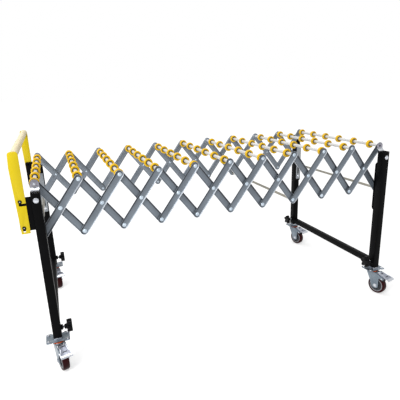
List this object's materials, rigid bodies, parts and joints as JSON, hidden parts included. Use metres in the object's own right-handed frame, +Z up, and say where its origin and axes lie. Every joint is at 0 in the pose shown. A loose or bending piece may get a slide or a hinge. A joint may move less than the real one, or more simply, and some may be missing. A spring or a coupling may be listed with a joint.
{
  "type": "flexible skate wheel conveyor",
  "caption": "Expanding gravity conveyor: a scissor lattice of steel bars carries rows of skate wheels between two wheeled end frames, with height-adjustable legs and a pull handle",
  "frame": {"origin": "on the floor, midway between the first and last axles and midway between the two sides of the lattice", "axes": "+X runs along the conveyor away from the handle, +Y away from the near side, +Z up"},
  "size_m": [1.618, 0.8469, 0.852],
  "materials": {
    "link_steel": "bright zinc plate on pressed steel bar",
    "skate_wheel": "moulded yellow plastic",
    "frame_paint": "satin black powder coat",
    "zinc": "bright zinc plate",
    "handle_paint": "gloss yellow powder coat",
    "grip": "ribbed cream plastic",
    "knob": "moulded black plastic",
    "caster_tread": "maroon polyurethane tread",
    "caster_steel": "bright zinc plate on pressed steel",
    "pedal_steel": "zinc-plated pressed steel"
  },
  "bodies": {
    "left_frame": {"left_legs": "frame_paint", "left_straps": "zinc", "left_guides": "zinc", "handle_brackets": "frame_paint"},
    "falling_01": {"link_falling_01": "link_steel"},
    "rising_01": {"link_rising_01": "link_steel"},
    "falling_02": {"link_falling_02": "link_steel"},
    "rising_02": {"link_rising_02": "link_steel"},
    "falling_03": {"link_falling_03": "link_steel"},
    "rising_03": {"link_rising_03": "link_steel"},
    "falling_04": {"link_falling_04": "link_steel"},
    "rising_04": {"link_rising_04": "link_steel"},
    "falling_05": {"link_falling_05": "link_steel"},
    "rising_05": {"link_rising_05": "link_steel"},
    "falling_06": {"link_falling_06": "link_steel"},
    "rising_06": {"link_rising_06": "link_steel"},
    "falling_07": {"link_falling_07": "link_steel"},
    "rising_07": {"link_rising_07": "link_steel"},
    "falling_08": {"link_falling_08": "link_steel"},
    "rising_08": {"link_rising_08": "link_steel"},
    "falling_09": {"link_falling_09": "link_steel"},
    "rising_09": {"link_rising_09": "link_steel"},
    "falling_10": {"link_falling_10": "link_steel"},
    "rising_10": {"link_rising_10": "link_steel"},
    "right_frame": {"right_legs": "frame_paint", "right_straps": "zinc", "right_guides": "zinc"},
    "row_01": {"wheel_row_01": "skate_wheel"},
    "row_02": {"wheel_row_02": "skate_wheel"},
    "row_03": {"wheel_row_03": "skate_wheel"},
    "row_04": {"wheel_row_04": "skate_wheel"},
    "row_05": {"wheel_row_05": "skate_wheel"},
    "row_06": {"wheel_row_06": "skate_wheel"},
    "row_07": {"wheel_row_07": "skate_wheel"},
    "row_08": {"wheel_row_08": "skate_wheel"},
    "row_09": {"wheel_row_09": "skate_wheel"},
    "row_10": {"wheel_row_10": "skate_wheel"},
    "row_11": {"wheel_row_11": "skate_wheel"},
    "handle": {"handle_bars": "handle_paint", "handle_grip": "grip"},
    "leg_near_left": {"inner_leg_near_left": "caster_steel"},
    "swivel_near_left": {"fork_near_left": "caster_steel"},
    "wheel_near_left": {"caster_wheel_near_left": "caster_tread"},
    "brake_near_left": {"pedal_near_left": "pedal_steel"},
    "clamp_near_left": {"knob_near_left": "knob"},
    "leg_far_left": {"inner_leg_far_left": "caster_steel"},
    "swivel_far_left": {"fork_far_left": "caster_steel"},
    "wheel_far_left": {"caster_wheel_far_left": "caster_tread"},
    "brake_far_left": {"pedal_far_left": "pedal_steel"},
    "clamp_far_left": {"knob_far_left": "knob"},
    "leg_near_right": {"inner_leg_near_right": "caster_steel"},
    "swivel_near_right": {"fork_near_right": "caster_steel"},
    "wheel_near_right": {"caster_wheel_near_right": "caster_tread"},
    "brake_near_right": {"pedal_near_right": "pedal_steel"},
    "clamp_near_right": {"knob_near_right": "knob"},
    "leg_far_right": {"inner_leg_far_right": "caster_steel"},
    "swivel_far_right": {"fork_far_right": "caster_steel"},
    "wheel_far_right": {"caster_wheel_far_right": "caster_tread"},
    "brake_far_right": {"pedal_far_right": "pedal_steel"},
    "clamp_far_right": {"knob_far_right": "knob"}
  },
  "joints": [
    {"name": "extension", "type": "hinge", "parent": "left_frame", "child": "falling_01", "pos_m": [-0.75, 0, 0.724], "axis": [0, 1, 0], "range_deg": [0, 27.6]},
    {"name": "centre_pivot_01", "type": "hinge", "parent": "falling_01", "child": "rising_01", "pos_m": [-0.675, 0, 0.624], "axis": [0, 1, 0], "range_deg": [-55.4, 0]},
    {"name": "top_pivot_02", "type": "hinge", "parent": "rising_01", "child": "falling_02", "pos_m": [-0.6, 0, 0.724], "axis": [0, 1, 0], "range_deg": [0, 55.4]},
    {"name": "centre_pivot_02", "type": "hinge", "parent": "falling_02", "child": "rising_02", "pos_m": [-0.525, 0, 0.624], "axis": [0, 1, 0], "range_deg": [-55.4, 0]},
    {"name": "top_pivot_03", "type": "hinge", "parent": "rising_02", "child": "falling_03", "pos_m": [-0.45, 0, 0.724], "axis": [0, 1, 0], "range_deg": [0, 55.4]},
    {"name": "centre_pivot_03", "type": "hinge", "parent": "falling_03", "child": "rising_03", "pos_m": [-0.375, 0, 0.624], "axis": [0, 1, 0], "range_deg": [-55.4, 0]},
    {"name": "top_pivot_04", "type": "hinge", "parent": "rising_03", "child": "falling_04", "pos_m": [-0.3, 0, 0.724], "axis": [0, 1, 0], "range_deg": [0, 55.4]},
    {"name": "centre_pivot_04", "type": "hinge", "parent": "falling_04", "child": "rising_04", "pos_m": [-0.225, 0, 0.624], "axis": [0, 1, 0], "range_deg": [-55.4, 0]},
    {"name": "top_pivot_05", "type": "hinge", "parent": "rising_04", "child": "falling_05", "pos_m": [-0.15, 0, 0.724], "axis": [0, 1, 0], "range_deg": [0, 55.4]},
    {"name": "centre_pivot_05", "type": "hinge", "parent": "falling_05", "child": "rising_05", "pos_m": [-0.075, 0, 0.624], "axis": [0, 1, 0], "range_deg": [-55.4, 0]},
    {"name": "top_pivot_06", "type": "hinge", "parent": "rising_05", "child": "falling_06", "pos_m": [0, 0, 0.724], "axis": [0, 1, 0], "range_deg": [0, 55.4]},
    {"name": "centre_pivot_06", "type": "hinge", "parent": "falling_06", "child": "rising_06", "pos_m": [0.075, 0, 0.624], "axis": [0, 1, 0], "range_deg": [-55.4, 0]},
    {"name": "top_pivot_07", "type": "hinge", "parent": "rising_06", "child": "falling_07", "pos_m": [0.15, 0, 0.724], "axis": [0, 1, 0], "range_deg": [0, 55.4]},
    {"name": "centre_pivot_07", "type": "hinge", "parent": "falling_07", "child": "rising_07", "pos_m": [0.225, 0, 0.624], "axis": [0, 1, 0], "range_deg": [-55.4, 0]},
    {"name": "top_pivot_08", "type": "hinge", "parent": "rising_07", "child": "falling_08", "pos_m": [0.3, 0, 0.724], "axis": [0, 1, 0], "range_deg": [0, 55.4]},
    {"name": "centre_pivot_08", "type": "hinge", "parent": "falling_08", "child": "rising_08", "pos_m": [0.375, 0, 0.624], "axis": [0, 1, 0], "range_deg": [-55.4, 0]},
    {"name": "top_pivot_09", "type": "hinge", "parent": "rising_08", "child": "falling_09", "pos_m": [0.45, 0, 0.724], "axis": [0, 1, 0], "range_deg": [0, 55.4]},
    {"name": "centre_pivot_09", "type": "hinge", "parent": "falling_09", "child": "rising_09", "pos_m": [0.525, 0, 0.624], "axis": [0, 1, 0], "range_deg": [-55.4, 0]},
    {"name": "top_pivot_10", "type": "hinge", "parent": "rising_09", "child": "falling_10", "pos_m": [0.6, 0, 0.724], "axis": [0, 1, 0], "range_deg": [0, 55.4]},
    {"name": "centre_pivot_10", "type": "hinge", "parent": "falling_10", "child": "rising_10", "pos_m": [0.675, 0, 0.624], "axis": [0, 1, 0], "range_deg": [-55.4, 0]},
    {"name": "top_pivot_11", "type": "hinge", "parent": "rising_10", "child": "right_frame", "pos_m": [0.75, 0, 0.724], "axis": [0, 1, 0], "range_deg": [0, 27.7]},
    {"name": "row_spin_01", "type": "hinge", "parent": "falling_01", "child": "row_01", "pos_m": [-0.75, 0, 0.724], "axis": [0, 1, 0], "continuous": true},
    {"name": "row_spin_02", "type": "hinge", "parent": "falling_02", "child": "row_02", "pos_m": [-0.6, 0, 0.724], "axis": [0, 1, 0], "continuous": true},
    {"name": "row_spin_03", "type": "hinge", "parent": "falling_03", "child": "row_03", "pos_m": [-0.45, 0, 0.724], "axis": [0, 1, 0], "continuous": true},
    {"name": "row_spin_04", "type": "hinge", "parent": "falling_04", "child": "row_04", "pos_m": [-0.3, 0, 0.724], "axis": [0, 1, 0], "continuous": true},
    {"name": "row_spin_05", "type": "hinge", "parent": "falling_05", "child": "row_05", "pos_m": [-0.15, 0, 0.724], "axis": [0, 1, 0], "continuous": true},
    {"name": "row_spin_06", "type": "hinge", "parent": "falling_06", "child": "row_06", "pos_m": [0, 0, 0.724], "axis": [0, 1, 0], "continuous": true},
    {"name": "row_spin_07", "type": "hinge", "parent": "falling_07", "child": "row_07", "pos_m": [0.15, 0, 0.724], "axis": [0, 1, 0], "continuous": true},
    {"name": "row_spin_08", "type": "hinge", "parent": "falling_08", "child": "row_08", "pos_m": [0.3, 0, 0.724], "axis": [0, 1, 0], "continuous": true},
    {"name": "row_spin_09", "type": "hinge", "parent": "falling_09", "child": "row_09", "pos_m": [0.45, 0, 0.724], "axis": [0, 1, 0], "continuous": true},
    {"name": "row_spin_10", "type": "hinge", "parent": "falling_10", "child": "row_10", "pos_m": [0.6, 0, 0.724], "axis": [0, 1, 0], "continuous": true},
    {"name": "row_spin_11", "type": "hinge", "parent": "right_frame", "child": "row_11", "pos_m": [0.75, 0, 0.724], "axis": [0, 1, 0], "continuous": true},
    {"name": "handle_lift", "type": "slide", "parent": "left_frame", "child": "handle", "axis": [0, 0, 1], "range_m": [0, 0.012]},
    {"name": "leg_slide_near_left", "type": "slide", "parent": "left_frame", "child": "leg_near_left", "axis": [0, 0, -1], "range_m": [-0.006, 0.2]},
    {"name": "clamp_turn_near_left", "type": "hinge", "parent": "left_frame", "child": "clamp_near_left", "pos_m": [-0.75, -0.355, 0.162], "axis": [1, 0, 0], "range_deg": [0, 360]},
    {"name": "swivel_turn_near_left", "type": "hinge", "parent": "leg_near_left", "child": "swivel_near_left", "pos_m": [-0.75, -0.355, 0.11], "axis": [0, 0, 1], "continuous": true},
    {"name": "wheel_spin_near_left", "type": "hinge", "parent": "swivel_near_left", "child": "wheel_near_left", "pos_m": [-0.74198, -0.38494, 0.0425], "axis": [0.9659, 0.2588, 0], "continuous": true},
    {"name": "brake_tilt_near_left", "type": "hinge", "parent": "swivel_near_left", "child": "brake_near_left", "pos_m": [-0.73431, -0.41357, 0.08644], "axis": [0.9659, 0.2588, 0], "range_deg": [-20, 0]},
    {"name": "leg_slide_far_left", "type": "slide", "parent": "left_frame", "child": "leg_far_left", "axis": [0, 0, -1], "range_m": [-0.006, 0.2]},
    {"name": "clamp_turn_far_left", "type": "hinge", "parent": "left_frame", "child": "clamp_far_left", "pos_m": [-0.75, 0.355, 0.162], "axis": [1, 0, 0], "range_deg": [0, 360]},
    {"name": "swivel_turn_far_left", "type": "hinge", "parent": "leg_far_left", "child": "swivel_far_left", "pos_m": [-0.75, 0.355, 0.11], "axis": [0, 0, 1], "continuous": true},
    {"name": "wheel_spin_far_left", "type": "hinge", "parent": "swivel_far_left", "child": "wheel_far_left", "pos_m": [-0.74198, 0.32506, 0.0425], "axis": [0.9659, 0.2588, 0], "continuous": true},
    {"name": "brake_tilt_far_left", "type": "hinge", "parent": "swivel_far_left", "child": "brake_far_left", "pos_m": [-0.73431, 0.29643, 0.08644], "axis": [0.9659, 0.2588, 0], "range_deg": [-20, 0]},
    {"name": "leg_slide_near_right", "type": "slide", "parent": "right_frame", "child": "leg_near_right", "axis": [0, 0, -1], "range_m": [-0.006, 0.2]},
    {"name": "clamp_turn_near_right", "type": "hinge", "parent": "right_frame", "child": "clamp_near_right", "pos_m": [0.75, -0.355, 0.162], "axis": [-1, 0, 0], "range_deg": [0, 360]},
    {"name": "swivel_turn_near_right", "type": "hinge", "parent": "leg_near_right", "child": "swivel_near_right", "pos_m": [0.75, -0.355, 0.11], "axis": [0, 0, 1], "continuous": true},
    {"name": "wheel_spin_near_right", "type": "hinge", "parent": "swivel_near_right", "child": "wheel_near_right", "pos_m": [0.75802, -0.38494, 0.0425], "axis": [0.9659, 0.2588, 0], "continuous": true},
    {"name": "brake_tilt_near_right", "type": "hinge", "parent": "swivel_near_right", "child": "brake_near_right", "pos_m": [0.76569, -0.41357, 0.08644], "axis": [0.9659, 0.2588, 0], "range_deg": [-20, 0]},
    {"name": "leg_slide_far_right", "type": "slide", "parent": "right_frame", "child": "leg_far_right", "axis": [0, 0, -1], "range_m": [-0.006, 0.2]},
    {"name": "clamp_turn_far_right", "type": "hinge", "parent": "right_frame", "child": "clamp_far_right", "pos_m": [0.75, 0.355, 0.162], "axis": [-1, 0, 0], "range_deg": [0, 360]},
    {"name": "swivel_turn_far_right", "type": "hinge", "parent": "leg_far_right", "child": "swivel_far_right", "pos_m": [0.75, 0.355, 0.11], "axis": [0, 0, 1], "continuous": true},
    {"name": "wheel_spin_far_right", "type": "hinge", "parent": "swivel_far_right", "child": "wheel_far_right", "pos_m": [0.75802, 0.32506, 0.0425], "axis": [0.9659, 0.2588, 0], "continuous": true},
    {"name": "brake_tilt_far_right", "type": "hinge", "parent": "swivel_far_right", "child": "brake_far_right", "pos_m": [0.76569, 0.29643, 0.08644], "axis": [0.9659, 0.2588, 0], "range_deg": [-20, 0]}
  ],
  "couplings": [
    {"joint": "centre_pivot_01", "follows": "extension", "ratio": -2},
    {"joint": "top_pivot_02", "follows": "extension", "ratio": 2},
    {"joint": "centre_pivot_02", "follows": "extension", "ratio": -2},
    {"joint": "top_pivot_03", "follows": "extension", "ratio": 2},
    {"joint": "centre_pivot_03", "follows": "extension", "ratio": -2},
    {"joint": "top_pivot_04", "follows": "extension", "ratio": 2},
    {"joint": "centre_pivot_04", "follows": "extension", "ratio": -2},
    {"joint": "top_pivot_05", "follows": "extension", "ratio": 2},
    {"joint": "centre_pivot_05", "follows": "extension", "ratio": -2},
    {"joint": "top_pivot_06", "follows": "extension", "ratio": 2},
    {"joint": "centre_pivot_06", "follows": "extension", "ratio": -2},
    {"joint": "top_pivot_07", "follows": "extension", "ratio": 2},
    {"joint": "centre_pivot_07", "follows": "extension", "ratio": -2},
    {"joint": "top_pivot_08", "follows": "extension", "ratio": 2},
    {"joint": "centre_pivot_08", "follows": "extension", "ratio": -2},
    {"joint": "top_pivot_09", "follows": "extension", "ratio": 2},
    {"joint": "centre_pivot_09", "follows": "extension", "ratio": -2},
    {"joint": "top_pivot_10", "follows": "extension", "ratio": 2},
    {"joint": "centre_pivot_10", "follows": "extension", "ratio": -2},
    {"joint": "top_pivot_11", "follows": "extension", "ratio": 1}
  ]
}
